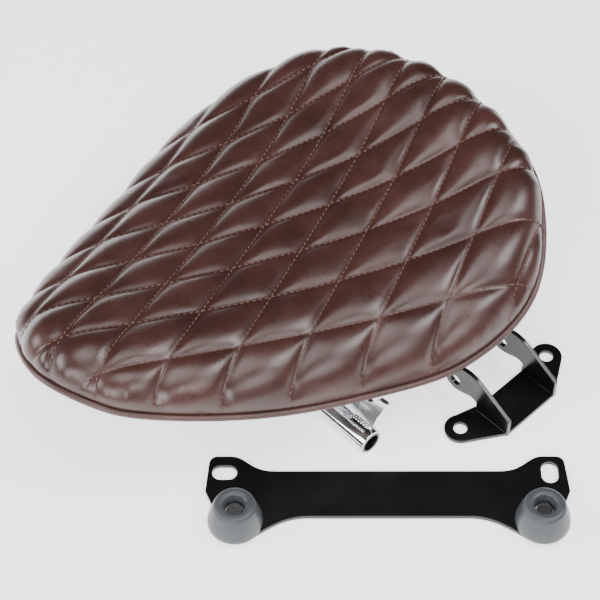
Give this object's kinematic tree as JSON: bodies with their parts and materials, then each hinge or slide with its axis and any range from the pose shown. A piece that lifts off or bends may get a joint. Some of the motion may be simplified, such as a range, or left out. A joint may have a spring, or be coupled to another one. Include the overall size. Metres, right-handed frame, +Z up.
{
  "type": "motorcycle seat",
  "caption": "Solo motorcycle seat with a diamond-quilted leather pad, a pivot tube with turning sleeve, a hinge bracket and a rest bar with rubber bumpers.",
  "frame": {"origin": "on the floor under the middle of the whole kit's box", "axes": "+X from the seat's nose to its tail, +Y towards the seat's low side, +Z up"},
  "size_m": [0.359, 0.4138, 0.1076],
  "materials": {
    "brown_leather": "semi-gloss brown, diamond stitched",
    "foam": "open foam, hidden",
    "pan_paint": "satin black",
    "edge_rubber": "matt black",
    "chrome": "polished",
    "sleeve_steel": "dark oiled steel",
    "zinc_steel": "zinc plated",
    "black_coat": "satin black powder coat",
    "grey_rubber": "moulded grey rubber"
  },
  "bodies": {
    "seat": {"quilted_cover": "brown_leather", "piping_welt": "brown_leather", "side_skirt": "brown_leather", "foam_pad": "foam", "pan_shell": "pan_paint", "pan_edge_trim": "edge_rubber", "pivot_tube": "chrome", "pivot_gusset": "chrome", "pivot_plate": "chrome", "plate_bolts": "zinc_steel", "plate_spacers": "zinc_steel", "plate_nuts": "zinc_steel", "rest_rail": "pan_paint", "rail_bolts": "zinc_steel", "rail_spacers": "zinc_steel", "rail_nuts": "zinc_steel"},
    "pivot_sleeve": {"pivot_sleeve": "sleeve_steel"},
    "hinge_bracket": {"hinge_bracket": "black_coat"},
    "rest_bar": {"rest_bar": "black_coat", "bumper_left": "grey_rubber", "bumper_right": "grey_rubber", "bumper_washer_left": "zinc_steel", "bumper_washer_right": "zinc_steel", "bumper_screw_left": "zinc_steel", "bumper_screw_right": "zinc_steel", "clinch_nut_left": "zinc_steel", "clinch_nut_right": "zinc_steel"}
  },
  "joints": [
    {"name": "sleeve_turn", "type": "hinge", "parent": "seat", "child": "pivot_sleeve", "pos_m": [-0.0315, -0.05591, 0.0095], "axis": [0, 1, 0], "continuous": true},
    {"name": "bracket_away", "type": "slide", "parent": "seat", "child": "hinge_bracket", "axis": [0.6, -0.8, 0], "range_m": [0, 0.05]},
    {"name": "bar_away", "type": "slide", "parent": "seat", "child": "rest_bar", "axis": [-0.6947, -0.7193, 0], "range_m": [0, 0.08]}
  ]
}
